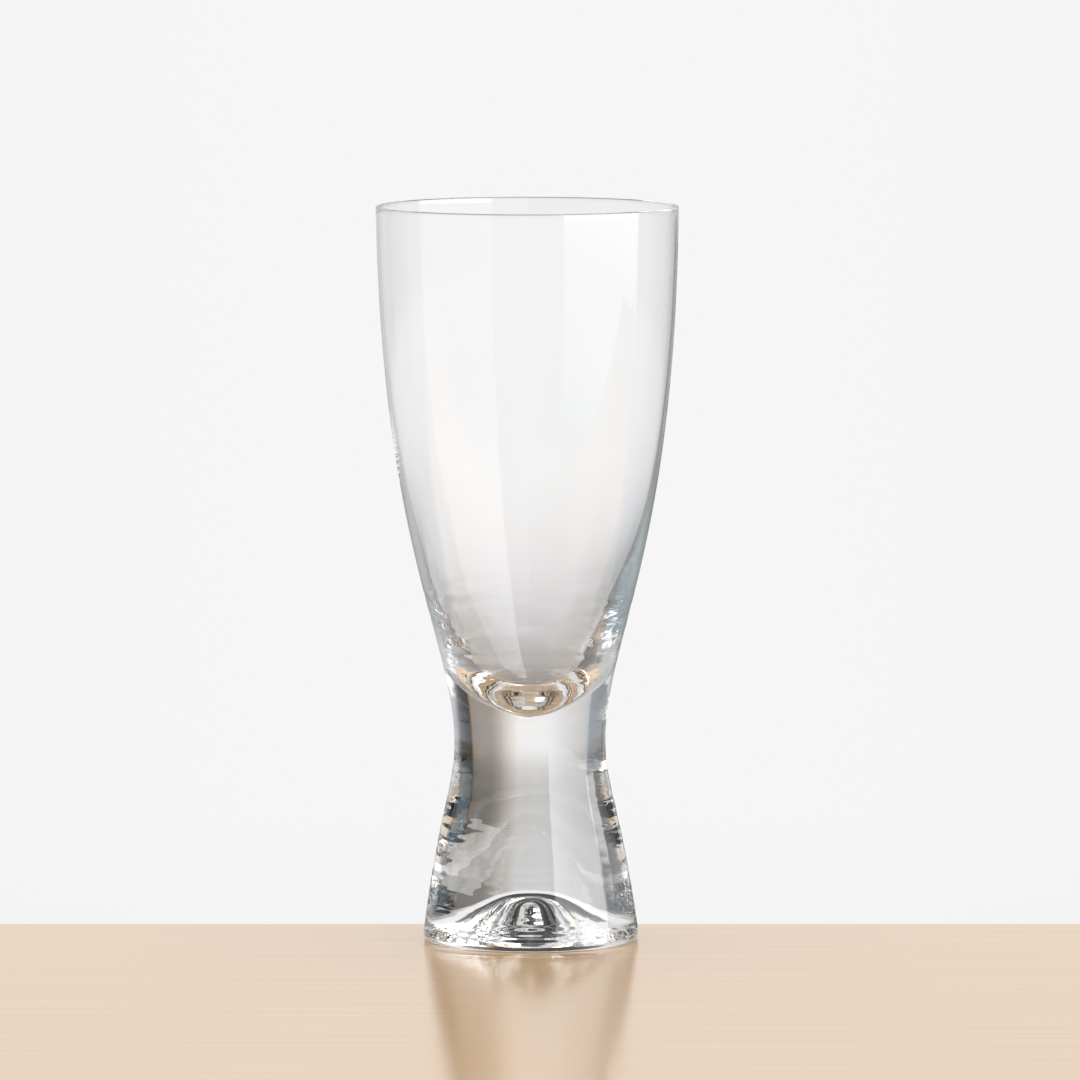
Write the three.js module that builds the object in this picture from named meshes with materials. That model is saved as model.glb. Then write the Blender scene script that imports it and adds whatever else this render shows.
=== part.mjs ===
// Footed drinking glass: a tall blown bowl on a solid waisted stem that spreads into its own foot.
// Millimetres, +Z up, with the origin on the table under the middle of the foot.
import * as THREE from 'three';

// Outside, seen from the side
const rimHeight = 190;
const rimRadius = 39;
const rimFlare = 1.1; // how much the radius still grows over the upper handle of the bowl's curve
const waistHeight = 51.6;
const waistRadius = 19.55;
const footRadius = 28.1; // where the sides would meet the table if the edge were sharp
const footLean = 5; // how far the sides draw in over the lower handle of the foot's curve
const footEdge = 2; // rounding between the sides and the ring that the glass stands on
const footRing = 2; // width of that flat ring

// Inside of the bowl
const rimWall = 1;
const shoulderHeight = 76; // where the thin wall begins to gather into the thick bottom
const shoulderWall = 6.65;
const shoulderLean = 26.5; // degrees from upright
const solidHeight = 59.25; // from the table to the lowest point inside the bowl
const floorSlope = 10; // degrees, the slightly pointed bottom of the inside

// Hollow under the foot
const puntHeight = 12.1;
const puntShoulder = 5.5; // height of the lower handle of the hollow's bell curve

// Weld between the two gathers, a shallow dish under the bowl
const bowlFloor = 7.85; // glass of the bowl under its lowest inside point
const weldDepth = 6;
const weldGap = 0.3;

// How far the handles of each curve reach, as shares of the stretch that the curve spans
const bowlPull = { waist: 0.19, rim: 0.65 };
const footPull = { table: 0.73, waist: 0.26 };
const floorPull = { middle: 0.63, shoulder: 0.1 };
const wallPull = { shoulder: 0.2, rim: 0.57 };
const puntPull = { middle: 0.37, ring: 0.37 };

// Fineness of the solids
const turnSteps = 56;
const smallestStep = 1e-9; // along a curve, when it is searched for a height
const steps = { bowl: 22, stem: 16, rim: 4, floor: 10, wall: 14, weld: 6, edge: 3, punt: 11 };

const point = (radius, height) => new THREE.Vector2(radius, height);
const radians = THREE.MathUtils.degToRad;

// The outside is one line from the table to the rim: radius as a function of height.
const lipRadius = rimWall / 2;
const wallTop = rimHeight - lipRadius;
const bowlSpan = wallTop - waistHeight;
const bowlSide = new THREE.CubicBezierCurve(
  point(waistRadius, waistHeight),
  point(waistRadius, waistHeight + bowlPull.waist * bowlSpan),
  point(rimRadius - rimFlare, wallTop - bowlPull.rim * bowlSpan),
  point(rimRadius, wallTop),
);
const footSide = new THREE.CubicBezierCurve(
  point(footRadius, 0),
  point(footRadius - footLean, footPull.table * waistHeight),
  point(waistRadius, waistHeight - footPull.waist * waistHeight),
  point(waistRadius, waistHeight),
);

function outerRadius(height) {
  const side = height < waistHeight ? footSide : bowlSide;
  let low = 0;
  let high = 1;
  while (high - low > smallestStep) {
    const middle = (low + high) / 2;
    if (side.getPoint(middle).y < height) low = middle;
    else high = middle;
  }
  return side.getPoint(low).x;
}

function outside(from, to, count) {
  return Array.from({ length: count + 1 }, (_, i) => {
    const height = THREE.MathUtils.lerp(from, to, i / count);
    return point(outerRadius(height), height);
  });
}

// The weld is an arc from the axis to the outside, the same arc for both gathers, one gap apart.
function weld(bottom) {
  const edge = outerRadius(bottom + weldDepth);
  const arcRadius = (edge ** 2 + weldDepth ** 2) / (2 * weldDepth);
  const down = -Math.PI / 2;
  const sweep = Math.asin(edge / arcRadius);
  const arc = new THREE.EllipseCurve(0, bottom + arcRadius, arcRadius, arcRadius, down, down + sweep);
  const points = arc.getPoints(steps.weld);
  points[0] = point(0, bottom);
  points[steps.weld] = point(edge, bottom + weldDepth);
  return points;
}

// The inside of the bowl runs from the rim down the wall and round the drawn bottom to the axis.
function inside() {
  const innerRim = point(rimRadius - rimWall, wallTop);
  const shoulder = point(outerRadius(shoulderHeight) - shoulderWall, shoulderHeight);
  const lean = point(Math.tan(radians(shoulderLean)), 1);
  const rise = shoulderHeight - solidHeight;
  const climb = wallTop - shoulderHeight;
  const reach = floorPull.middle * shoulder.x;
  const wall = new THREE.CubicBezierCurve(
    innerRim,
    point(innerRim.x - rimFlare, wallTop - wallPull.rim * climb),
    shoulder.clone().addScaledVector(lean, wallPull.shoulder * climb),
    shoulder,
  );
  const floor = new THREE.CubicBezierCurve(
    shoulder,
    shoulder.clone().addScaledVector(lean, -floorPull.shoulder * rise),
    point(reach, solidHeight + reach * Math.tan(radians(floorSlope))),
    point(0, solidHeight),
  );
  return [...wall.getPoints(steps.wall), ...floor.getPoints(steps.floor).slice(1)];
}

function lip() {
  const arc = new THREE.EllipseCurve(rimRadius - lipRadius, wallTop, lipRadius, lipRadius, 0, Math.PI);
  return arc.getPoints(steps.rim).slice(1, -1);
}

// The hollow under the foot is a low bell that ends at the flat ring.
function punt(ringInner) {
  return new THREE.CubicBezierCurve(
    point(0, puntHeight),
    point(puntPull.middle * ringInner, puntHeight),
    point(puntPull.ring * ringInner, puntShoulder),
    point(ringInner, 0),
  ).getPoints(steps.punt);
}

function footCorner(ringOuter) {
  return new THREE.QuadraticBezierCurve(
    point(ringOuter, 0),
    point(outerRadius(0), 0),
    point(outerRadius(footEdge), footEdge),
  ).getPoints(steps.edge);
}

function revolve(name, profile, material) {
  const geometry = new THREE.LatheGeometry(profile, turnSteps);
  geometry.rotateX(Math.PI / 2);
  const mesh = new THREE.Mesh(geometry, material);
  mesh.name = name;
  return mesh;
}

const clearGlass = { roughness: 0.02, metalness: 0, transparent: true, opacity: 0.35 };
const bowlGlass = new THREE.MeshStandardMaterial({ color: 0xf2f4f3, ...clearGlass });
const stemGlass = new THREE.MeshStandardMaterial({ color: 0xeaeeec, ...clearGlass });

// Bowl: weld, outside, lip and inside, in one closed line round the section
const bowlWeld = solidHeight - bowlFloor;
const bowl = revolve('bowl', [
  ...weld(bowlWeld),
  ...outside(bowlWeld + weldDepth, wallTop, steps.bowl).slice(1),
  ...lip(),
  ...inside(),
], bowlGlass);

// Stem and foot: hollow, standing ring, rounded edge, outside and weld
const stemWeld = bowlWeld - weldGap;
const ringOuter = footRadius - footEdge;
const stemFoot = revolve('stem_foot', [
  ...punt(ringOuter - footRing),
  ...footCorner(ringOuter),
  ...outside(footEdge, stemWeld + weldDepth, steps.stem).slice(1),
  ...weld(stemWeld).reverse().slice(1),
], stemGlass);

const glass = new THREE.Group();
glass.add(bowl, stemFoot);

export default glass;
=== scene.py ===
import math

import bmesh
import bpy
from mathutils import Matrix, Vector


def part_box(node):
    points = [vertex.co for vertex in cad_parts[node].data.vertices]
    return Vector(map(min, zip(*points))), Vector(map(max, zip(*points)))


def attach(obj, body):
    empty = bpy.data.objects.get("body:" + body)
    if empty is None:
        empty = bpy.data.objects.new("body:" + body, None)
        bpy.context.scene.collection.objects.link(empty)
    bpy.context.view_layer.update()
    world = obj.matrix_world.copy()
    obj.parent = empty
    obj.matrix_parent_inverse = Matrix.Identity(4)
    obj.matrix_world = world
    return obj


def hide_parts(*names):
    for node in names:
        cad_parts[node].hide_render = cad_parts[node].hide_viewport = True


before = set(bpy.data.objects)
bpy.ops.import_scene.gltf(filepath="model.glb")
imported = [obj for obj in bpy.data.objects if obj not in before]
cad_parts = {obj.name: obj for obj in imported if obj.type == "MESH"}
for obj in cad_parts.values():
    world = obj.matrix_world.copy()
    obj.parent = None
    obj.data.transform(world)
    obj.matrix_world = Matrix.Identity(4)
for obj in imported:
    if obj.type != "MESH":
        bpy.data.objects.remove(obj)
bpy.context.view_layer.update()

mm = 0.001
stage = bpy.context.scene
sharpAngle = math.radians(30)
once, twice, fourTimes = 0.5, 1.5, 3.5  # a ray's count above this limit happened at least so often


# helpers: two for nodes, one for colours, two for curves

def addNode(tree, kind, wires=None, **settings):
    node = tree.nodes.new(kind)
    for name, value in settings.items():
        setattr(node, name, value)
    for socket, value in (wires or {}).items():
        if isinstance(value, bpy.types.NodeSocket):
            tree.links.new(value, node.inputs[socket])
        else:
            node.inputs[socket].default_value = value
    return node


def calc(tree, operation, *values):
    return addNode(tree, "ShaderNodeMath", dict(enumerate(values)), operation=operation).outputs[0]


def linear(hexColour):
    parts = [int(hexColour[i:i + 2], 16) / 255 for i in (1, 3, 5)]
    bent = [c / 12.92 if c <= 0.04045 else ((c + 0.055) / 1.055) ** 2.4 for c in parts]
    return (*bent, 1.0)


def bezier(a, b, c, d, count):
    line = []
    for i in range(count + 1):
        t = i / count
        s = 1 - t
        weights = (s ** 3, 3 * s * s * t, 3 * s * t * t, t ** 3)
        line.append(tuple(sum(w * p[k] for w, p in zip(weights, (a, b, c, d))) for k in (0, 1)))
    return line


def arc(centre, radius, fromDegrees, toDegrees, count):
    line = []
    for i in range(count + 1):
        turn = math.radians(fromDegrees + (toDegrees - fromDegrees) * i / count)
        line.append((centre[0] + radius * math.cos(turn), centre[1] + radius * math.sin(turn)))
    return line


# section of the glass in millimetres: radius, then height above the table

bowlLow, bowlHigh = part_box("bowl")
size = {
    "rimHeight": bowlHigh.z / mm,
    "rimRadius": bowlHigh.x / mm,
    "rimFlare": 1.1,           # growth of the radius over the upper handle
    "bowlPull": {"waist": 0.19, "rim": 0.65},   # reach of the handles, as shares of the stretch
    "footPull": {"table": 0.73, "waist": 0.26},
    "waistHeight": 51.6,
    "waistRadius": 19.55,
    "footRadius": 28.1,
    "footLean": 5.0,
    "footEdge": 2.0,           # rounding between side and standing ring
    "footRing": 2.0,           # width of the ground ring
    "rimWall": 0.8,
    "shoulderHeight": 76.0,
    "shoulderWall": 6.65,
    "shoulderLean": 26.5,      # degrees from upright
    "solidHeight": 59.25,      # table to the lowest point inside
    "floorSlope": 10.0,        # degrees, the slightly pointed bottom
    "floorPull": {"middle": 0.63, "shoulder": 0.1},
    "wallPull": {"shoulder": 0.2, "rim": 0.57},
    "puntHeight": 12.1,
    "puntShoulder": 5.5,
    "puntPull": {"middle": 0.37, "ring": 0.37},
    "weldHeight": 51.4,        # lowest point of the weld dish
    "weldDepth": 6.0,
    "weldGap": 0.004,          # the gathers are melted together, so only a hair is kept
}
lip = size["rimWall"] / 2
wallTop = size["rimHeight"] - lip
bowlSpan = wallTop - size["waistHeight"]

outsideFine = 600
outline = bezier(
    (size["footRadius"], 0),
    (size["footRadius"] - size["footLean"], size["footPull"]["table"] * size["waistHeight"]),
    (size["waistRadius"], (1 - size["footPull"]["waist"]) * size["waistHeight"]),
    (size["waistRadius"], size["waistHeight"]), outsideFine) + bezier(
    (size["waistRadius"], size["waistHeight"]),
    (size["waistRadius"], size["waistHeight"] + size["bowlPull"]["waist"] * bowlSpan),
    (size["rimRadius"] - size["rimFlare"], wallTop - size["bowlPull"]["rim"] * bowlSpan),
    (size["rimRadius"], wallTop), outsideFine)[1:]


def outerRadius(height):
    for (r0, z0), (r1, z1) in zip(outline, outline[1:]):
        if z0 <= height <= z1:
            return r0 + (r1 - r0) * (height - z0) / (z1 - z0)
    return outline[-1][0]


def outside(low, high, count):
    heights = [low + (high - low) * i / count for i in range(count + 1)]
    return [(outerRadius(z), z) for z in heights]


def weldDish(bottom, count):
    edge = outerRadius(bottom + size["weldDepth"])
    radius = (edge ** 2 + size["weldDepth"] ** 2) / (2 * size["weldDepth"])
    sweep = math.degrees(math.asin(edge / radius))
    line = arc((0, bottom + radius), radius, -90, -90 + sweep, count)
    return [(0, bottom)] + line[1:-1] + [(edge, bottom + size["weldDepth"])]


def cavity(wallCount, floorCount):
    innerRim = (size["rimRadius"] - size["rimWall"], wallTop)
    shoulder = (outerRadius(size["shoulderHeight"]) - size["shoulderWall"], size["shoulderHeight"])
    lean = math.tan(math.radians(size["shoulderLean"]))
    climb = wallTop - size["shoulderHeight"]
    rise = size["shoulderHeight"] - size["solidHeight"]
    up, down = size["wallPull"]["shoulder"] * climb, size["floorPull"]["shoulder"] * rise
    reach = size["floorPull"]["middle"] * shoulder[0]
    slope = math.tan(math.radians(size["floorSlope"]))
    wall = bezier(innerRim, (innerRim[0] - size["rimFlare"], wallTop - size["wallPull"]["rim"] * climb),
                  (shoulder[0] + lean * up, shoulder[1] + up), shoulder, wallCount)
    floor = bezier(shoulder, (shoulder[0] - lean * down, shoulder[1] - down),
                   (reach, size["solidHeight"] + reach * slope), (0, size["solidHeight"]), floorCount)
    return wall + floor[1:]


print("section ready: rim", round(size["rimRadius"], 2), "height", round(size["rimHeight"], 2))


# materials

def newMaterial(name):
    material = bpy.data.materials.new(name)
    material.use_nodes = True
    material.node_tree.nodes.clear()
    return material, material.node_tree


def blownGlass():
    # clear soda glass, blown and fire-polished: sharp bright highlights, faint cords that bend the view
    material, tree = newMaterial("blown_clear_glass")
    place = addNode(tree, "ShaderNodeTexCoord")
    cordSpacing = 9 * mm
    cords = addNode(tree, "ShaderNodeTexNoise", {
        "Vector": place.outputs["Object"], "Scale": 1 / cordSpacing, "Detail": 1.0})
    bump = addNode(tree, "ShaderNodeBump", {
        "Height": cords.outputs["Fac"], "Strength": 0.02, "Distance": 0.2 * mm})
    glass = addNode(tree, "ShaderNodeBsdfPrincipled", {
        "Base Color": linear("#ffffff"), "Roughness": 0.0, "IOR": 1.52,
        "Transmission Weight": 1.0, "Normal": bump.outputs["Normal"]})
    addNode(tree, "ShaderNodeOutputMaterial", {"Surface": glass.outputs["BSDF"]})
    return material


def meltedWeld():
    # where the two gathers are melted together nothing is left to see
    material, tree = newMaterial("melted_weld")
    clear = addNode(tree, "ShaderNodeBsdfTransparent")
    addNode(tree, "ShaderNodeOutputMaterial", {"Surface": clear.outputs["BSDF"]})
    return material


def paleTable():
    # pale sealed board: warm tone with faint long grain, satin, so the glass mirrors softly in it
    material, tree = newMaterial("pale_sealed_board")
    place = addNode(tree, "ShaderNodeTexCoord")
    grainLong, grainWide = 90.0 * mm, 1.6 * mm
    along = addNode(tree, "ShaderNodeVectorMath", {
        0: place.outputs["Object"], 1: (1 / grainLong, 1 / grainWide, 1 / grainWide)}, operation="MULTIPLY")
    grain = addNode(tree, "ShaderNodeTexNoise", {"Vector": along.outputs[0], "Scale": 1.0, "Detail": 4.0})
    tone = addNode(tree, "ShaderNodeMix", {
        0: grain.outputs["Fac"], 6: linear("#bf976b"), 7: linear("#d4b287")}, data_type="RGBA")
    # painted light: where light was mirrored in the glass or let through the weld, the board's colour is
    # lifted towards a pale cream, standing in for the brighter light on the board near the glass; most if
    # mirrored last
    bentPaintedLight, mirroredPaintedLight = 0.5, 0.75
    path = addNode(tree, "ShaderNodeLightPath").outputs
    pale = addNode(tree, "ShaderNodeMapRange", {
        "Value": path["Is Reflection Ray"], "To Min": bentPaintedLight, "To Max": mirroredPaintedLight}).outputs[0]
    bounced = calc(tree, "GREATER_THAN", path["Glossy Depth"], once)
    throughWeld = calc(tree, "GREATER_THAN", path["Transparent Depth"], once)
    share = calc(tree, "MULTIPLY", pale, calc(tree, "MAXIMUM", bounced, throughWeld))
    # painted light: the pale cream that stands in for brighter light, mixed in by that share
    shown = addNode(tree, "ShaderNodeMix", {
        0: share, 6: tone.outputs[2], 7: linear("#f2dcc0")}, data_type="RGBA")
    board = addNode(tree, "ShaderNodeBsdfPrincipled", {
        "Base Color": shown.outputs[2], "Roughness": 0.14, "IOR": 1.5})
    addNode(tree, "ShaderNodeOutputMaterial", {"Surface": board.outputs["BSDF"]})
    return material


def whitePaper():
    # white paper, matt; painted shade: its tone is kept grey, well below white, standing in for dimmer light
    # on it, and the darker patches of the noise stand in for the shade of crumples
    material, tree = newMaterial("white_paper")
    place = addNode(tree, "ShaderNodeTexCoord")
    crumpleShadeSpacing = 9 * mm
    crumpleShade = addNode(tree, "ShaderNodeTexNoise", {
        "Vector": place.outputs["Object"], "Scale": 1 / crumpleShadeSpacing, "Detail": 3.0})
    tone = addNode(tree, "ShaderNodeMix", {
        0: crumpleShade.outputs["Fac"], 6: linear("#706d69"), 7: linear("#bdbab6")}, data_type="RGBA")
    paper = addNode(tree, "ShaderNodeBsdfPrincipled", {"Base Color": tone.outputs[2], "Roughness": 0.8})
    addNode(tree, "ShaderNodeOutputMaterial", {"Surface": paper.outputs["BSDF"]})
    return material


glassSkin = blownGlass()
weldSkin = meltedWeld()


# Geometry Nodes: turns a section round the axis, with the small unevenness of hand work

def turnedTree():
    mergeWithin, mostlyWeld, noiseMiddle, sidePower = 1e-7, 0.9, 0.5, 3.0
    tree = bpy.data.node_groups.new("turnedGlass", "GeometryNodeTree")
    face = tree.interface
    face.new_socket("Geometry", in_out="INPUT", socket_type="NodeSocketGeometry")
    for name, kind in (("Section", "NodeSocketObject"), ("Turn Steps", "NodeSocketInt"),
                       ("Ripple Spacing", "NodeSocketFloat"), ("Ripple Round", "NodeSocketFloat"),
                       ("Ripple Detail", "NodeSocketFloat"), ("Even Middle", "NodeSocketFloat"),
                       ("Front Share", "NodeSocketFloat"), ("Seed", "NodeSocketFloat"),
                       ("Glass", "NodeSocketMaterial"), ("Weld", "NodeSocketMaterial")):
        face.new_socket(name, in_out="INPUT", socket_type=kind)
    face.new_socket("Geometry", in_out="OUTPUT", socket_type="NodeSocketGeometry")
    asked = addNode(tree, "NodeGroupInput").outputs

    line = addNode(tree, "GeometryNodeObjectInfo", {"Object": asked["Section"]}).outputs["Geometry"]
    rows = addNode(tree, "GeometryNodeAttributeDomainSize", {"Geometry": line}).outputs["Point Count"]
    columns = calc(tree, "ADD", asked["Turn Steps"], 1.0)
    grid = addNode(tree, "GeometryNodeMeshGrid", {"Vertices X": rows, "Vertices Y": columns}).outputs["Mesh"]

    index = addNode(tree, "GeometryNodeInputIndex").outputs[0]
    row = calc(tree, "FLOOR", calc(tree, "DIVIDE", index, columns))
    column = calc(tree, "MODULO", index, columns)
    turn = calc(tree, "MULTIPLY", calc(tree, "DIVIDE", column, asked["Turn Steps"]), math.tau)
    cosine = calc(tree, "COSINE", turn)
    sine = calc(tree, "SINE", turn)

    # what the section says at this row
    spot = addNode(tree, "GeometryNodeSampleIndex", {
        "Geometry": line, "Value": addNode(tree, "GeometryNodeInputPosition").outputs[0], "Index": row},
        data_type="FLOAT_VECTOR").outputs[0]
    told = {}
    for name in ("along", "outR", "outZ", "ripple", "uneven", "aside", "weld"):
        value = addNode(tree, "GeometryNodeInputNamedAttribute", {"Name": name}, data_type="FLOAT")
        told[name] = addNode(tree, "GeometryNodeSampleIndex", {
            "Geometry": line, "Value": value.outputs["Attribute"], "Index": row},
            data_type="FLOAT").outputs[0]
    spotAxes = addNode(tree, "ShaderNodeSeparateXYZ", {0: spot}).outputs

    # ripples lie round the glass: close along the section, long round the turn, whole rings in the middle
    step = calc(tree, "DIVIDE", told["along"], asked["Ripple Spacing"])
    wide = addNode(tree, "ShaderNodeMapRange", {
        "Value": spotAxes["X"], "From Max": asked["Even Middle"], "To Max": asked["Ripple Round"]}).outputs[0]
    around = addNode(tree, "ShaderNodeCombineXYZ", {
        "X": calc(tree, "MULTIPLY", cosine, wide),
        "Y": calc(tree, "MULTIPLY", sine, wide),
        "Z": step}).outputs[0]
    waves = addNode(tree, "ShaderNodeTexNoise", {
        "Vector": around, "W": asked["Seed"], "Scale": 1.0, "Detail": asked["Ripple Detail"],
        "Roughness": 0.55}, noise_dimensions="4D").outputs["Fac"]
    swing = calc(tree, "SUBTRACT", waves, noiseMiddle)
    sideways = calc(tree, "MULTIPLY", cosine, cosine)
    sideShare = addNode(tree, "ShaderNodeMapRange", {
        "Value": sideways, "To Min": asked["Front Share"], "To Max": 1.0}).outputs[0]
    lift = calc(tree, "MULTIPLY", swing, calc(tree, "MULTIPLY", told["ripple"], sideShare))
    waved = calc(tree, "MULTIPLY_ADD", lift, told["outR"], spotAxes["X"])
    level = calc(tree, "MULTIPLY_ADD", lift, told["outZ"], spotAxes["Z"])

    # the wall is thicker on one side, and the whole glass leans a hair
    oneSide = calc(tree, "POWER", cosine, sidePower)
    radius = calc(tree, "MULTIPLY_ADD", told["uneven"], oneSide, waved)
    across = calc(tree, "MULTIPLY_ADD", radius, cosine, told["aside"])
    deep = calc(tree, "MULTIPLY", radius, sine)
    place = addNode(tree, "ShaderNodeCombineXYZ", {"X": across, "Y": deep, "Z": level}).outputs[0]
    kept = addNode(tree, "GeometryNodeStoreNamedAttribute", {
        "Geometry": grid, "Name": "weld", "Value": told["weld"]},
        data_type="FLOAT", domain="POINT").outputs[0]
    turned = addNode(tree, "GeometryNodeSetPosition", {"Geometry": kept, "Position": place}).outputs[0]
    closed = addNode(tree, "GeometryNodeMergeByDistance", {
        "Geometry": turned, "Distance": mergeWithin}).outputs[0]
    outward = addNode(tree, "GeometryNodeFlipFaces", {"Mesh": closed}).outputs[0]
    real = addNode(tree, "GeometryNodeRealizeInstances", {"Geometry": outward}).outputs[0]

    inWeld = addNode(tree, "GeometryNodeInputNamedAttribute", {"Name": "weld"}, data_type="FLOAT")
    isWeld = addNode(tree, "FunctionNodeCompare", {
        0: inWeld.outputs["Attribute"], 1: mostlyWeld},
        data_type="FLOAT", operation="GREATER_THAN").outputs[0]
    clear = addNode(tree, "GeometryNodeSetMaterial", {
        "Geometry": real, "Material": asked["Glass"]}).outputs[0]
    melted = addNode(tree, "GeometryNodeSetMaterial", {
        "Geometry": clear, "Selection": isWeld, "Material": asked["Weld"]}).outputs[0]
    addNode(tree, "NodeGroupOutput", {"Geometry": melted})
    return tree


turnTree = turnedTree()
samePoint = 1e-6               # in millimetres, on the section


def none(height):
    return 0.0


def ringed(line, rings):
    # rings that turning against a tool leaves: a wave along the line, strongest at its middle
    shifted, along = [line[0]], 0.0
    for (r0, z0), (r, z), (r1, z1) in zip(line, line[1:], line[2:]):
        along += math.hypot(r - r0, z - z0)
        length = math.hypot(r1 - r0, z1 - z0)
        fade = math.exp(-((along - rings["middle"]) / rings["reach"]) ** 2)
        lift = rings["height"] * fade * math.cos(2 * math.pi * along / rings["spacing"])
        shifted.append((r + lift * (z1 - z0) / length, z + lift * (r0 - r1) / length))
    return shifted + [line[-1]]


def sectionWire(name, stretches):
    # one line from axis to axis; each point also holds its unevenness, in metres
    points, told = [], {"ripple": [], "uneven": [], "aside": [], "weld": []}
    for stretch in stretches:
        for r, z in stretch["line"]:
            weld = stretch.get("weld", 0.0)
            if points and math.hypot(r - points[-1][0], z - points[-1][1]) < samePoint:
                told["weld"][-1] = max(told["weld"][-1], weld)
                continue
            points.append((r, z))
            told["ripple"].append(stretch.get("ripple", none)(z) * mm)
            told["uneven"].append(stretch.get("uneven", none)(z) * mm)
            told["aside"].append(leanAside(z) * mm)
            told["weld"].append(weld)
    told["along"], told["outR"], told["outZ"] = [0.0], [], []
    for i, (r, z) in enumerate(points):
        (r0, z0), (r1, z1) = points[max(0, i - 1)], points[min(len(points) - 1, i + 1)]
        length = math.hypot(r1 - r0, z1 - z0)
        told["outR"].append((z1 - z0) / length)
        told["outZ"].append((r0 - r1) / length)
        if i:
            gone = math.hypot(r - points[i - 1][0], z - points[i - 1][1]) * mm
            told["along"].append(told["along"][-1] + gone)
    wire = bpy.data.meshes.new(name + "_section")
    links = [(i, i + 1) for i in range(len(points) - 1)]
    wire.from_pydata([(r * mm, 0, z * mm) for r, z in points], links, [])
    for key, values in told.items():
        wire.attributes.new(key, "FLOAT", "POINT").data.foreach_set("value", values)
    wireObject = bpy.data.objects.new(name + "_section", wire)
    stage.collection.objects.link(wireObject)
    return wireObject


def turnPiece(name, stretches, make):
    wire = sectionWire(name, stretches)
    piece = bpy.data.objects.new(name, bpy.data.meshes.new(name))
    stage.collection.objects.link(piece)
    turning = piece.modifiers.new("turned", "NODES")
    turning.node_group = turnTree
    sockets = {s.name: s.identifier for s in turnTree.interface.items_tree if s.in_out == "INPUT"}
    inputs = {
        "Section": wire, "Glass": glassSkin, "Weld": weldSkin, "Turn Steps": make["turnSteps"],
        "Ripple Spacing": make["rippleSpacing"] * mm, "Ripple Round": make["rippleRound"],
        "Ripple Detail": make["rippleDetail"], "Even Middle": make["evenMiddle"] * mm,
        "Front Share": make["frontShare"], "Seed": make["seed"]}
    for key, value in inputs.items():
        turning[sockets[key]] = value
    bpy.context.view_layer.update()
    shaped = bpy.data.meshes.new_from_object(piece.evaluated_get(bpy.context.evaluated_depsgraph_get()))
    piece.modifiers.clear()
    piece.data = shaped
    shaped.name = name
    shaped.materials.pop(index=0)  # the empty slot of the bare grid
    bpy.data.objects.remove(wire)
    shaped.shade_smooth()
    shaped.set_sharp_from_angle(angle=sharpAngle)
    print(name, "turned:", len(shaped.vertices), "points,", len(shaped.polygons), "faces")
    return piece


# bowl: blown gather, thicker on one side and faintly rippled towards the bottom

bowlMake = {
    "turnSteps": 192,
    "lean": -0.7,              # how far the rim stands aside of the waist, mm
    "uneven": -0.7,            # how far the inside comes in on the right and out on the left, mm
    "unevenHeight": 86.0,
    "unevenReach": {"up": 14.0, "down": 16.0},
    "ripple": 0.4,             # height of the ripples at the sides, mm
    "frontShare": 0.14,        # what is left of it at front and back
    "rippleSpacing": 5.0,
    "rippleRound": 1.6,
    "rippleDetail": 1.5,
    "rippleTop": 100.0,        # they die out towards this height
    "rippleFade": 14.0,
    "rippleLeft": 0.01,        # what is left of them above
    "evenMiddle": 6.0,         # rings inside this radius
    "floorRings": {"height": 0.016, "spacing": 2.0, "middle": 8.0, "reach": 5.0},
    "seed": 3.0,
    "fineTop": 108.0,          # rows lie closer below this height
    "rows": {"weld": 4, "fine": 130, "upper": 50, "lip": 10, "wall": 120, "floor": 110},
}


def leanAside(height):
    return bowlMake["lean"] * (height - size["waistHeight"]) / (size["rimHeight"] - size["waistHeight"])


def bowlRipple(height):
    share = min(1.0, max(0.0, bowlMake["rippleTop"] - height) / bowlMake["rippleFade"])
    return bowlMake["ripple"] * max(bowlMake["rippleLeft"], share)


def insideUneven(height):
    reach = bowlMake["unevenReach"]["up" if height > bowlMake["unevenHeight"] else "down"]
    return bowlMake["uneven"] * math.exp(-((height - bowlMake["unevenHeight"]) / reach) ** 2)


seam = size["weldHeight"] + size["weldDepth"]
rows = bowlMake["rows"]
inside = cavity(rows["wall"], rows["floor"])
bowl = turnPiece("bowl_glass", [
    {"line": weldDish(size["weldHeight"], rows["weld"]), "weld": 1.0},
    {"line": outside(seam, bowlMake["fineTop"], rows["fine"]), "ripple": bowlRipple},
    {"line": outside(bowlMake["fineTop"], wallTop, rows["upper"]), "ripple": bowlRipple},
    {"line": arc((size["rimRadius"] - lip, wallTop), lip, 0, 180, rows["lip"])},
    {"line": ringed(inside[::-1], bowlMake["floorRings"])[::-1], "ripple": bowlRipple,
     "uneven": insideUneven},
], bowlMake)


# stem and foot: solid gather, pulled in at the waist, with the hollow pushed up underneath

stemMake = {
    "turnSteps": 192,
    "ripple": 0.5,
    "frontShare": 0.15,
    "rippleSpacing": 5.4,
    "rippleRound": 0.9,
    "rippleDetail": 2.2,
    "rippleFade": 8.0,         # towards the foot's edge and the waist
    "rippleLeft": 0.12,
    "puntRipple": 0.12,
    "puntRings": {"height": 0.03, "spacing": 2.6, "middle": 19.0, "reach": 6.0},
    "evenMiddle": 8.0,
    "seed": 11.0,
    "rows": {"punt": 90, "edge": 12, "side": 200, "weld": 4},
}


def stemRipple(height):
    fromEdge = max(0.0, height - size["footEdge"]) / stemMake["rippleFade"]
    fromWaist = max(stemMake["rippleLeft"], (size["waistHeight"] - height) / stemMake["rippleFade"])
    fromWeld = max(0.0, seam - height) / stemMake["rippleFade"]
    return stemMake["ripple"] * min(1.0, fromEdge, fromWaist, fromWeld)


def puntRipple(height):
    return stemMake["puntRipple"] * min(1.0, height / size["puntHeight"]) ** 2


def footCorner(start, corner, stop, count):
    # a curve with one handle, written as one with two
    first, second = (tuple((corner[k] * 2 + at[k]) / 3 for k in (0, 1)) for at in (start, stop))
    return bezier(start, first, second, stop, count)


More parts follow.
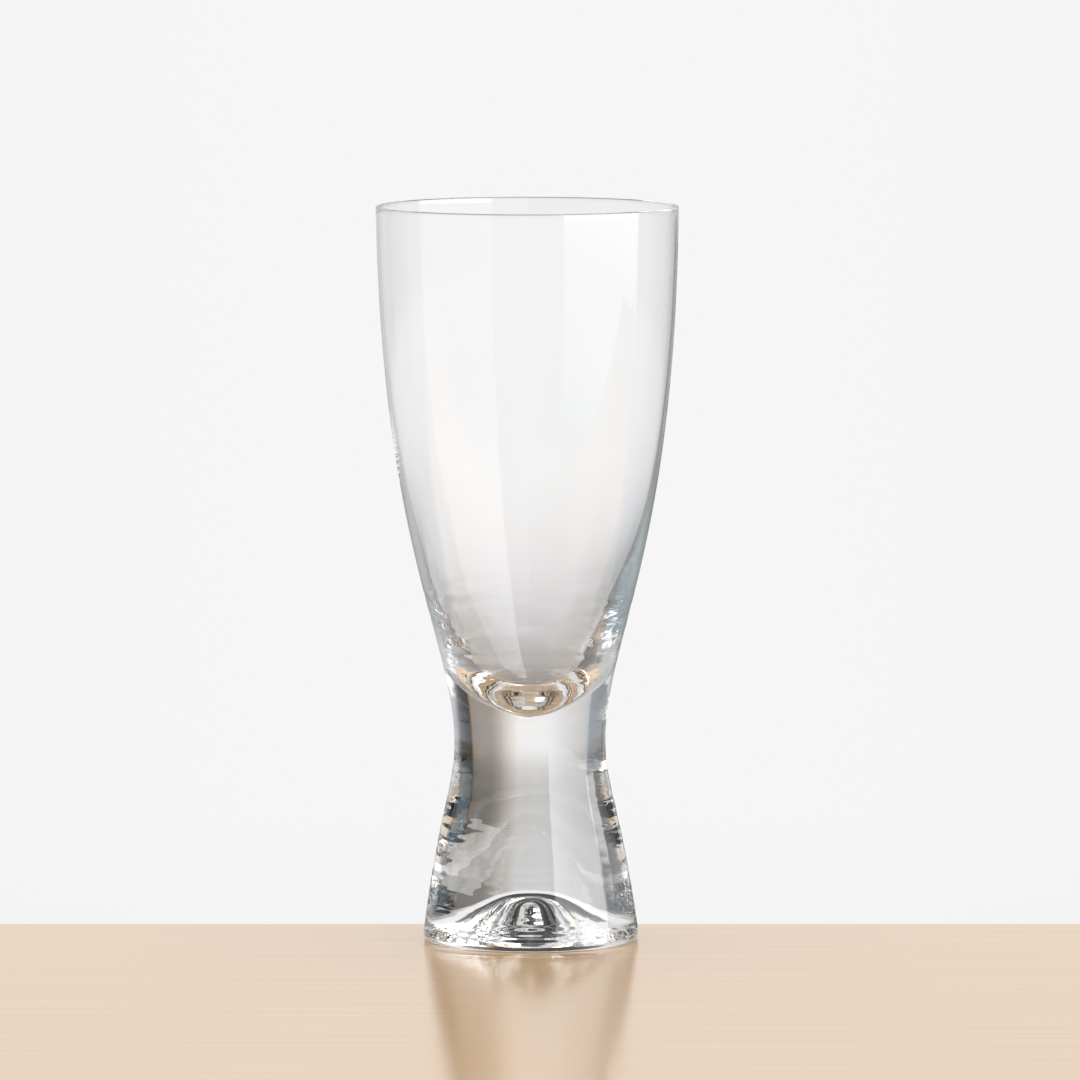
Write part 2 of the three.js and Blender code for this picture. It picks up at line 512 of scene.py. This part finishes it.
ringOuter = size["footRadius"] - size["footEdge"]
ringInner = ringOuter - size["footRing"]
rows = stemMake["rows"]
punt = bezier((0, size["puntHeight"]), (size["puntPull"]["middle"] * ringInner, size["puntHeight"]),
              (size["puntPull"]["ring"] * ringInner, size["puntShoulder"]), (ringInner, 0), rows["punt"])
sideStart = (outerRadius(size["footEdge"]), size["footEdge"])
stem = turnPiece("stem_foot_glass", [
    {"line": ringed(punt, stemMake["puntRings"]), "ripple": puntRipple},
    {"line": footCorner((ringOuter, 0), (size["footRadius"], 0), sideStart, rows["edge"])},
    {"line": outside(size["footEdge"], seam - size["weldGap"], rows["side"]), "ripple": stemRipple},
    {"line": weldDish(size["weldHeight"] - size["weldGap"], rows["weld"])[::-1], "weld": 1.0},
], stemMake)

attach(bowl, "root")
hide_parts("bowl")
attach(stem, "root")
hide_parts("stem_foot")


# stage: a plain pale board whose back edge lies just behind the glass

boardMake = {"wide": 2400.0, "front": -256.0, "back": 29.0, "thick": 30.0, "edge": 1.5}


def makeBoard():
    half = boardMake["wide"] / 2
    form = bmesh.new()
    bmesh.ops.create_cube(form, size=1)
    for v in form.verts:
        v.co.x = math.copysign(half, v.co.x) * mm
        v.co.y = (boardMake["back"] if v.co.y > 0 else boardMake["front"]) * mm
        v.co.z = (0 if v.co.z > 0 else -boardMake["thick"]) * mm
    bmesh.ops.bevel(form, geom=form.edges[:], offset=boardMake["edge"] * mm, segments=4, affect="EDGES")
    mesh = bpy.data.meshes.new("board")
    form.to_mesh(mesh)
    form.free()
    mesh.materials.append(paleTable())
    mesh.shade_smooth()
    mesh.set_sharp_from_angle(angle=sharpAngle)
    board = bpy.data.objects.new("board", mesh)
    stage.collection.objects.link(board)


makeBoard()

sheetMake = {"height": -8.0, "corners": (
    (17.0, 68.0), (31.0, 48.0), (42.0, 48.0), (42.0, 73.0), (36.0, 93.0), (13.0, 111.0))}


def makeSheet():
    # a sheet of white paper low behind the board, which shows only bent through the stem
    mesh = bpy.data.meshes.new("sheet")
    points = [(x * mm, y * mm, sheetMake["height"] * mm) for x, y in sheetMake["corners"]]
    mesh.from_pydata(points, [], [list(range(len(points)))])
    mesh.materials.append(whitePaper())
    sheet = bpy.data.objects.new("sheet", mesh)
    sheet.visible_camera = False
    stage.collection.objects.link(sheet)


makeSheet()
print("board and paper placed")


# light: a studio all round the glass, of cloth, cards and a bright panel, where what a ray finds depends on
# its way through the glass; bearing 0 lies behind the glass, + to the right, in degrees

studioMake = {
    "backdrop": {              # pale cloth all round, seen by the camera, also through the hollow bowl
        -180: "#d0d0d0", -90: "#dcdcdc", -20: "#f4f4f4", -6: "#f6f6f6", 6: "#f6f6f6", 20: "#f4f4f4",
        90: "#dcdcdc", 180: "#d0d0d0"},
    "flags": {                 # what the solid glass sees instead: darker cards at both sides
        -180: "#d9d9d9", -100: "#cecece", -84: "#ced0d2", -77: "#c4c6c8", -70: "#6c7074", -61: "#757a7f",
        -51: "#8b8f93", -40: "#999ca0", -39: "#c0c0c0", -32: "#cecece", -24: "#d9d9d9", -17: "#e5e5e5",
        -11: "#f1f1f1", -6: "#f6f6f6", 6: "#f6f6f6", 10: "#e0dfde", 13: "#cfcdcb", 16: "#b4b2af",
        19: "#a4a19d", 22: "#95928e", 30: "#908d89", 38.5: "#827f7b", 39.5: "#2a2d30", 47: "#2c2f32",
        57: "#34383c", 68: "#a4a8ac", 76: "#d2d4d6", 84: "#ced0d2", 100: "#cecece", 180: "#d9d9d9"},
    "mirrored": {              # what the outside of the glass mirrors
        -180: "#d0d0d0", -100: "#a8a8a8", -85: "#606060", -64: "#484848", -50: "#5c5c5c", -37: "#b8b8b8",
        -26: "#e8ecf2", 26: "#e8ecf2", 34: "#707070", 42: "#acacac", 52: "#bcbcbc", 85: "#808080",
        100: "#a8a8a8", 180: "#d0d0d0"},
    "mirroredLow": {           # and what the front of the drawn-in bowl mirrors from below
        -180: "#d0d0d0", -100: "#a8a8a8", -85: "#585858", -50: "#505050", -36: "#a8a8a8", -10: "#c4c4c4",
        10: "#a0aaac", 30: "#848d90", 60: "#7c888c", 100: "#b8b8b8", 180: "#d0d0d0"},
    "mirrorEdge": {            # grazing rays mirror the cards' edges, just beside what the camera sees
        -180: "#ffffff", -45: "#ffffff", -28: "#bcb6b2", -10: "#bcb6b2", -5: "#ffffff", 5: "#ffffff",
        10: "#7c7773", 28: "#7c7773", 45: "#ffffff", 180: "#ffffff"},
    "mirrorSplit": (-8.5, -7.0),    # heights between which mirrored turns into cloth,
    "edgeSplit": (-4.0, -3.0),      # the cards' edges begin
    "mirrorLow": (-16.0, -11.5),    # and mirroredLow takes over
    "farTint": "#84969c",      # light that wanders far inside the wall comes out greener
    "farBounces": (7.0, 14.0),
    "farShare": 0.75,
    "flagHeights": {           # how much of the tone is left by height above the level
        -90: "#7a7066", -50: "#958a7e", -40: "#aaa39b", -30: "#c2c0bd", -20.5: "#d0cfce", -19: "#d4d3d3",
        -16: "#d9d9d9", -13.5: "#e2e2e2", -11: "#ececec", -9: "#f5f5f5", -6: "#fafafa", 90: "#ffffff"},
    "floorShade": {            # the shade behind the table
        -90: "#8a8a8a", -43: "#9c9a98", -25: "#bababb", -22: "#c3c4c6", -20: "#c9cacd", -18: "#d4d5d8",
        -16: "#dcdde0", -14: "#e7e8ea", -11.5: "#f2f2f4", -9: "#fafafb", -7: "#ffffff", 90: "#ffffff"},
    "ceiling": {               # dark above the cloth, with a lamp overhead
        -90: "#ffffff", 36: "#ffffff", 40: "#222426", 87: "#222426", 89: "#e0e0e0", 90: "#e0e0e0"},
    "bouncedTone": 0.75,       # light that was mirrored on its way finds the cards paler, more so upwards
    "bouncedHeight": (-6.0, 4.0),
    "bouncedShare": (0.15, 0.5),
    "lowFill": {               # low down the cards open
        -180: "#000000", -49: "#000000", -48: "#c8c8c8", -37: "#c8c8c8", -36: "#000000",
        37: "#000000", 41: "#5c6870", 57: "#6c7880", 66: "#000000", 180: "#000000"},
    "fillHeight": (-24.0, -18.0),
    "flagTop": (14.0, 18.0),   # the cards end here, and white follows
    "floorBearing": (-26.0, 26.0),
    "floorSoft": 6.0,
    "panelBearing": (86.0, 152.0),
    "panelHeight": (-19.0, 78.0),
    "panelSoft": 1.5,
    "cardSplit": 0.6,          # thick glass spreads the colours at the edges of cards and panel, in degrees
    "panelSplit": 1.6,
    "panelLevels": {           # the panel on the right grows brighter upwards
        -20: 1.3, 5: 1.3, 28: 2.6, 36: 3.5, 44: 4.3, 60: 4.8},
    "panelMirrored": {-20: 0.75, -15: 0.8, -12: 1.2, -9: 1.4, -7: 1.4, 0: 3.6, 6: 4.6, 15: 4.8, 25: 6.0},
    "panelTwice": 1.2,         # the panel in a second mirroring
    "topLight": 1.6,           # lamps above the board, out of the glass's sight
    "backdropFar": 2.46,       # the cloth hangs well behind the glass, so the camera sees more of its spread
    "cameraSpread": 3.4,
}


def studio():
    make = studioMake
    world = bpy.data.worlds.new("studio")
    stage.world = world
    world.use_nodes = True
    tree = world.node_tree
    tree.nodes.clear()
    white, black = (1, 1, 1), (0, 0, 0)

    def over(count, limit):
        return calc(tree, "GREATER_THAN", count, limit)

    def either(first, second):
        return calc(tree, "MAXIMUM", first, second)

    def both(first, second):
        return calc(tree, "MULTIPLY", first, second)

    def without(value):
        return calc(tree, "SUBTRACT", 1.0, value)

    def blend(operation, first, second):
        return addNode(tree, "ShaderNodeVectorMath", {0: first, 1: second}, operation=operation).outputs[0]

    def scaled(colour, share):
        return addNode(tree, "ShaderNodeVectorMath", {
            0: colour, "Scale": share}, operation="SCALE").outputs[0]

    def mix(share, first, second):
        return addNode(tree, "ShaderNodeMix", {
            "Factor": share, 4: first, 5: second}, data_type="VECTOR").outputs[1]

    def fade(value, span, shares=(0.0, 1.0)):
        return addNode(tree, "ShaderNodeMapRange", {
            "Value": value, "From Min": span[0], "From Max": span[1],
            "To Min": shares[0], "To Max": shares[1]}).outputs[0]

    def edge(value, before, after):
        return addNode(tree, "ShaderNodeMapRange", {
            "Value": value, "From Min": before, "From Max": after},
            interpolation_type="SMOOTHSTEP").outputs[0]

    def band(value, low, high, soft):
        return both(edge(value, low - soft, low + soft), edge(value, high + soft, high - soft))

    def ramp(value, low, high, stops):
        node = addNode(tree, "ShaderNodeValToRGB", {"Fac": fade(value, (low, high))})
        marks = node.color_ramp.elements
        for i, (at, colour) in enumerate(stops.items()):
            mark = marks[i] if i < 1 else marks.new((at - low) / (high - low))
            mark.position = (at - low) / (high - low)
            mark.color = colour
        marks.remove(marks[len(marks) - 1])
        return node.outputs["Color"]

    def tones(value, limit, stops):
        return ramp(value, -limit, limit, {at: linear(tone) for at, tone in stops.items()})

    # which way the ray goes
    way = addNode(tree, "ShaderNodeTexCoord").outputs["Generated"]
    axes = addNode(tree, "ShaderNodeSeparateXYZ", {0: way}).outputs
    bearing = both(calc(tree, "ARCTAN2", axes["X"], axes["Y"]), math.degrees(1))
    rise = both(calc(tree, "ARCSINE", axes["Z"]), math.degrees(1))

    def levels(stops):
        most = max(stops.values())
        shares = ramp(rise, -90, 90, {at: (v / most, v / most, v / most, 1) for at, v in stops.items()})
        return scaled(shares, most)

    # rays that crossed the hollow bowl passed four faces, those through the solid stem only two
    path = addNode(tree, "ShaderNodeLightPath").outputs
    hollow = over(path["Transmission Depth"], fourTimes)
    folded = over(path["Glossy Depth"], once)
    again = over(path["Glossy Depth"], twice)
    unbent = without(folded)

    # what the board and the paper take up: no sharp image, so it comes from the open room
    scattered = over(path["Diffuse Depth"], once)
    onward = either(path["Is Camera Ray"], path["Is Transmission Ray"])
    dull = without(either(onward, path["Is Singular Ray"]))
    even = either(scattered, dull)
    keen = without(even)
    sought = without(either(onward, path["Is Reflection Ray"]))
    taken = either(scattered, sought)
    mirrorRay = both(path["Is Reflection Ray"], keen)
    plain = either(even, either(path["Is Camera Ray"], hollow))

    # cloth, shaded behind the table
    near = addNode(tree, "ShaderNodeClamp", {
        "Value": bearing, "Min": -make["cameraSpread"], "Max": make["cameraSpread"]}).outputs[0]
    spread = calc(tree, "MULTIPLY_ADD", both(near, path["Is Camera Ray"]), make["backdropFar"], bearing)
    backdrop = tones(spread, 180, make["backdrop"])
    behind = band(bearing, *make["floorBearing"], make["floorSoft"])
    shade = mix(behind, white, tones(rise, 90, make["floorShade"]))
    cloth = blend("MULTIPLY", backdrop, shade)

    # cards, which the solid glass sees in place of it
    parted = []
    for i, shift in enumerate((-make["cardSplit"], 0.0, make["cardSplit"])):
        flags = tones(calc(tree, "ADD", bearing, shift), 180, make["flags"])
        parted.append(addNode(tree, "ShaderNodeSeparateXYZ", {0: flags}).outputs[i])
    cards = addNode(tree, "ShaderNodeCombineXYZ", dict(enumerate(parted))).outputs[0]
    closed = blend("MULTIPLY", cards, tones(rise, 90, make["flagHeights"]))
    above = mix(again, fade(rise, make["flagTop"]), black)
    closed = mix(above, closed, white)
    paler = fade(rise, make["bouncedHeight"], make["bouncedShare"])
    closed = mix(both(paler, folded), closed, (make["bouncedTone"],) * 3)
    deep = fade(rise, make["fillHeight"][::-1])
    closed = blend("MAXIMUM", closed, scaled(tones(bearing, 180, make["lowFill"]), deep))
    wandered = fade(path["Glossy Depth"], make["farBounces"], (0.0, make["farShare"]))
    closed = mix(wandered, closed, linear(make["farTint"])[:3])

    # what the outside of the glass mirrors
    lower = fade(rise, make["mirrorSplit"][::-1])
    mirrored = mix(lower, tones(bearing, 180, make["mirrored"]), cloth)
    lowest = fade(rise, make["mirrorLow"][::-1])
    mirrored = mix(lowest, mirrored, tones(bearing, 180, make["mirroredLow"]))
    grazing = fade(rise, make["edgeSplit"][::-1])
    mirrored = blend("MULTIPLY", mirrored, mix(grazing, white, tones(bearing, 180, make["mirrorEdge"])))

    # ceiling
    ceiling = tones(rise, 90, make["ceiling"])
    freely = either(either(path["Is Camera Ray"], even), unbent)
    within = blend("MULTIPLY", mix(plain, closed, cloth), mix(freely, ceiling, white))
    room = mix(mirrorRay, within, mirrored)

    # panel, with coloured edges where it is seen through thick glass
    other = either(mirrorRay, hollow)
    inside = without(other)
    masks = []
    for shift in (-make["panelSplit"], 0.0, make["panelSplit"]):
        turned = calc(tree, "MULTIPLY_ADD", inside, shift, bearing)
        raised = calc(tree, "MULTIPLY_ADD", inside, shift, rise)
        across = band(turned, *make["panelBearing"], make["panelSoft"])
        masks.append(both(across, band(raised, *make["panelHeight"], make["panelSoft"])))
    split = addNode(tree, "ShaderNodeCombineXYZ", dict(enumerate(masks))).outputs[0]
    seen = scaled(split, both(folded, keen))
    shown = blend("MULTIPLY", seen, mix(other, ceiling, white))
    mirroredPanel = mix(again, levels(make["panelMirrored"]), (make["panelTwice"],) * 3)
    panel = mix(mirrorRay, levels(make["panelLevels"]), mirroredPanel)
    total = addNode(tree, "ShaderNodeMix", {1: shown, 4: room, 5: panel}, data_type="VECTOR",
                    factor_mode="NON_UNIFORM").outputs[1]
    strength = fade(taken, (0.0, 1.0), (1.0, make["topLight"]))
    shine = addNode(tree, "ShaderNodeBackground", {"Color": total, "Strength": strength})
    addNode(tree, "ShaderNodeOutputWorld", {"Surface": shine.outputs[0]})
    print("studio lit")


studio()


# camera: long lens, a little above the rim, set from the rim and foot ellipses

cameraMake = {"away": 2458.0, "height": 335.0, "aside": 2.6, "pitch": 5.378, "lens": 319.0}


def makeCamera():
    lensData = bpy.data.cameras.new("camera")
    lensData.lens = cameraMake["lens"]
    lensData.sensor_width = 36
    lensData.clip_start = 0.1
    lensData.clip_end = 50
    camera = bpy.data.objects.new("camera", lensData)
    camera.location = (cameraMake["aside"] * mm, -cameraMake["away"] * mm, cameraMake["height"] * mm)
    camera.rotation_euler = (math.radians(90 - cameraMake["pitch"]), 0, 0)
    stage.collection.objects.link(camera)
    stage.camera = camera


makeCamera()
print("camera set")

stage.view_settings.view_transform = "Standard"
stage.cycles.max_bounces = 600
stage.cycles.transmission_bounces = 32
stage.cycles.glossy_bounces = 600
stage.cycles.transparent_max_bounces = 64
